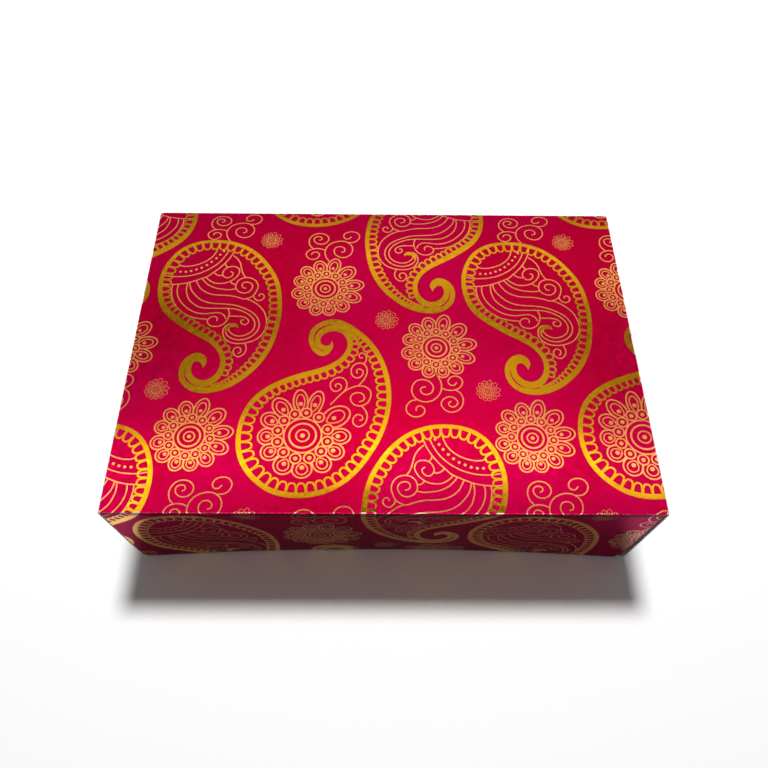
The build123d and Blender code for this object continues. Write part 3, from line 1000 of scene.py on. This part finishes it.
def foil_material(name, bright, deep, metal, wall_shade_share):
    """Hot-stamped foil: mirror-like gold with a slight grain, rubbed thin in places. Its last
    argument is how much painted shade darkens it on the walls."""
    g = material_graph(name)
    to_end, to_wall, to_panel = distances(g, lid_sheet)
    colour = g.mix(g.soft(g.noise(90, 4, 0.65), 0.45, 0.75), bright, deep)
    # painted shade on the walls
    colour = g.mix(g.times(on_wall(g, to_panel), wall_shade_share), colour, wall_shade_gold)
    # rubbed pale on the lid's rounded creases, with a painted highlight there, and painted shade in the band
    # under them
    edge = g.math("MAXIMUM", g.math("MINIMUM", to_end, to_wall), to_panel)
    colour = g.mix(g.soft(edge, *foil_rubbed_and_highlight, 0.9, 0), colour, rubbed_gold_and_highlight)
    colour = g.mix(g.times(crease_shade(g, to_panel), 0.75), colour, painted_crease_shade)
    grain = g.bump(g.even(g.noise(3200, 2), *noise_span), 0.0000015, 0.5)
    return g.finish({
        "Base Color": colour,
        "Metallic": metal,
        "Roughness": g.even(g.noise(450, 3), *noise_span, *foil_rough),
        "Specular Tint": gold_edge,
        "Normal": g.bump(g.noise(46, 2, 0.4), 0.00018, 0.5, grain),
    })


def roll_of(node, way):
    """A hem's axis and the radius of the middle of its board."""
    low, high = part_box(node)
    radius = (high.x - low.x) / 2
    return ((low.x + high.x) / 2, high.z if way < 0 else low.z), radius - board * mm / 2


def dress(node, material):
    piece = nodes[node]
    piece.data.materials.clear()
    piece.data.materials.append(material)


# The sheets and their large panels, and which way the ends face along x and the walls along y
sheets = {lid_sheet: "lid_top", base_sheet: "base_bottom"}
ends = {"left": -1, "right": 1}
walls = {"front": -1, "back": 1}


def dress_boards():
    for sheet, panel in sheets.items():
        body = sheet.body
        # the rounded creases are printed all the way round
        dress(panel, board_material(f"{panel}_print", sheet, (0, 0, -sheet.way), least=-0.1))
        for hand, side in ends.items():
            outward = board_material(f"{body}_{hand}_print", sheet, (side, 0, 0))
            for piece in (f"{hand}_end", f"front_{hand}_flap", f"back_{hand}_flap"):
                dress(f"{body}_{piece}", outward)
            lining, hem = f"{body}_{hand}_lining", f"{body}_{hand}_hem"
            dress(lining, board_material(f"{lining}_print", sheet, (-side, 0, 0)))
            dress(hem, board_material(f"{hem}_print", sheet, roll=roll_of(hem, sheet.way)))
    for face, side in walls.items():
        dress(f"base_{face}_wall", board_material(f"base_{face}_print", base_sheet, (0, side, 0)))


dress_boards()
wall_materials = [
    board_material("lid_wall_print", lid_sheet),
    plain_material("grey_back", back_colour, 1500, 0.00004, 0.6),
    plain_material("cut_edge", edge_colour, 2500, 0.00006, 0.7),
]
foil = [foil_material("broad_foil", gold, deep_gold, 1.0, 0.0),
        foil_material("fine_foil", rose_gold, deep_rose_gold, 0.68, 0.6)]
for face, side in walls.items():
    lid_wall(side, f"lid_{face}_wall", wall_materials)
for sheet, panel in sheets.items():
    body = sheet.body
    foil_piece(f"{panel}_foil", sheet, sheet.large(), foil)
    columns, bow = (lid_columns(), wall_bow) if body == "lid" else (base_columns(), 0)
    for face, side in walls.items():
        foil_piece(f"{body}_{face}_foil", sheet, sheet.wall(side, columns, bow), foil)
    for hand, side in ends.items():
        panels = sheet.end(side, f"{body}_{hand}_hem", f"{body}_{hand}_lining")
        foil_piece(f"{body}_{hand}_end_foil", sheet, panels, foil)


# Stage, camera and light

black, dim, pale, white = ((level, level, level, 1) for level in (0, 0.10, 0.97, 1))
floor_half = 5.0


def make_floor():
    g = material_graph("floor_white")
    seen = g.seen_directly()
    # well away from the box and its shadow the floor is as white as the background behind it
    from_box = g.add("ShaderNodeVectorMath", {0: g.place()}, "Value", operation="LENGTH")
    far = g.times(g.soft(from_box, 0.26, 0.55), seen)
    material = g.finish({
        "Base Color": g.mix(far, g.mix(seen, dim, pale), black),
        "Roughness": 1.0,
        "Specular IOR Level": 0.0,
        "Emission Color": white,
        "Emission Strength": far,
    })
    corners = [(x * floor_half, y * floor_half, 0) for x, y in ((-1, -1), (1, -1), (1, 1), (-1, 1))]
    floor = new_mesh("floor", corners, [(0, 1, 2, 3)], [material])


def make_world():
    """A room with a slope for each way: back is how far back a thing stands for its height, and
    side how far to the right."""
    world = bpy.data.worlds.new("studio")
    bpy.context.scene.world = world
    g = Graph(world)
    way_x, way_y, way_z = g.parts(g.add("ShaderNodeTexCoord", output="Generated"))
    height = g.math("MAXIMUM", way_z, 0.001)
    back, side = g.math("DIVIDE", way_y, height), g.math("DIVIDE", way_x, height)
    to_side = g.math("ABSOLUTE", side)

    def hump(value, middle, width):
        away = g.math("DIVIDE", g.minus(value, middle), width)
        return g.math("EXPONENT", g.times(away, away, -1.0))
    # what the top mirrors of the room above and behind: a bright tube with a glow on the ceiling,
    # a dim gap, the paler wall beyond, a small bright spot to the left, and the softbox overhead
    curved = g.plus(back, g.times(side, side, 0.13))
    tube = g.times(hump(curved, 0.452, 0.043), hump(side, 0.03, 1.2), 2.4)
    glow = g.times(hump(back, 0.60, 0.085), hump(side, 0.05, 0.36), 0.848)
    wall = g.times(hump(back, 0.865, 0.093), g.soft(side, -0.5, -0.1, 0.6, 1.0), 0.976)
    glint = g.times(hump(back, 0.374, 0.03), hump(side, -0.406, 0.04), 2.4)
    above_box = g.times(g.soft(back, -0.5, -0.2), g.soft(back, 0.10, 0.28, 1, 0))
    overhead = g.times(above_box, g.soft(to_side, 0.2, 0.55, 1, 0), 1.92)
    # and the room's plain pale walls all round
    before_and_behind = g.math("MAXIMUM", g.soft(back, -0.5, -0.2, 1, 0), g.soft(back, 1.2, 1.6))
    room = g.times(g.math("MAXIMUM", before_and_behind, g.soft(to_side, 0.6, 1.0)), 0.52)
    level = g.plus(tube, glow, wall, glint, overhead, room, 0.024)
    # low down it is white
    level = g.add("ShaderNodeMix", {0: g.soft(way_z, 0.50, 0.60, 1, 0), 2: level, 3: 1.0})
    shown = g.add("ShaderNodeBackground", {"Color": white, "Strength": level})
    # the light that dull surfaces get from it
    above = g.soft(way_z, 0.1, 0.9, 0.0, 0.136)
    before = g.times(g.soft(way_y, -0.9, -0.2, 6.4, 0.0), g.soft(way_z, 0.02, 0.12, 1, 0))
    fill = g.add("ShaderNodeBackground", {"Color": white, "Strength": g.plus(above, before, 0.032)})
    g.show("ShaderNodeOutputWorld", g.add("ShaderNodeMixShader", {0: g.seen_directly(), 1: fill, 2: shown}))


def make_lamp():
    """One soft round lamp, high behind the box."""
    away = 1.2
    lamp = bpy.data.lights.new("key", "AREA")
    lamp.shape = "DISK"
    lamp.size = 0.21
    lamp.energy = 3.35 * math.pi * away ** 2
    key = linked("key", lamp)
    key.visible_glossy = False
    way = Vector((0.0, 0.32, 1.0)).normalized()
    key.location = way * away
    key.rotation_euler = (-way).to_track_quat("-Z", "Y").to_euler()


def make_camera():
    """The photograph's own view, as it was worked out from the top's corners: how far it is turned
    to the right, how far it looks down and how far it leans."""
    turn, down, lean = 1.28, 61.70, 1.41
    view = Matrix.Translation(Vector((-3.43, -171.32, 319.55)) * mm)
    for angle, axis in ((-turn, "Z"), (90 - down, "X"), (lean, "Z")):
        view @= Matrix.Rotation(math.radians(angle), 4, axis)
    camera = bpy.data.cameras.new("camera")
    camera.lens = 31.465
    camera.sensor_width = 36
    camera.shift_y = 0.03125
    camera.clip_start = 0.01
    holder = linked("camera", camera)
    holder.matrix_world = view
    bpy.context.scene.camera = holder


make_floor()
make_world()
make_lamp()
make_camera()
bpy.context.scene.view_settings.view_transform = "Standard"
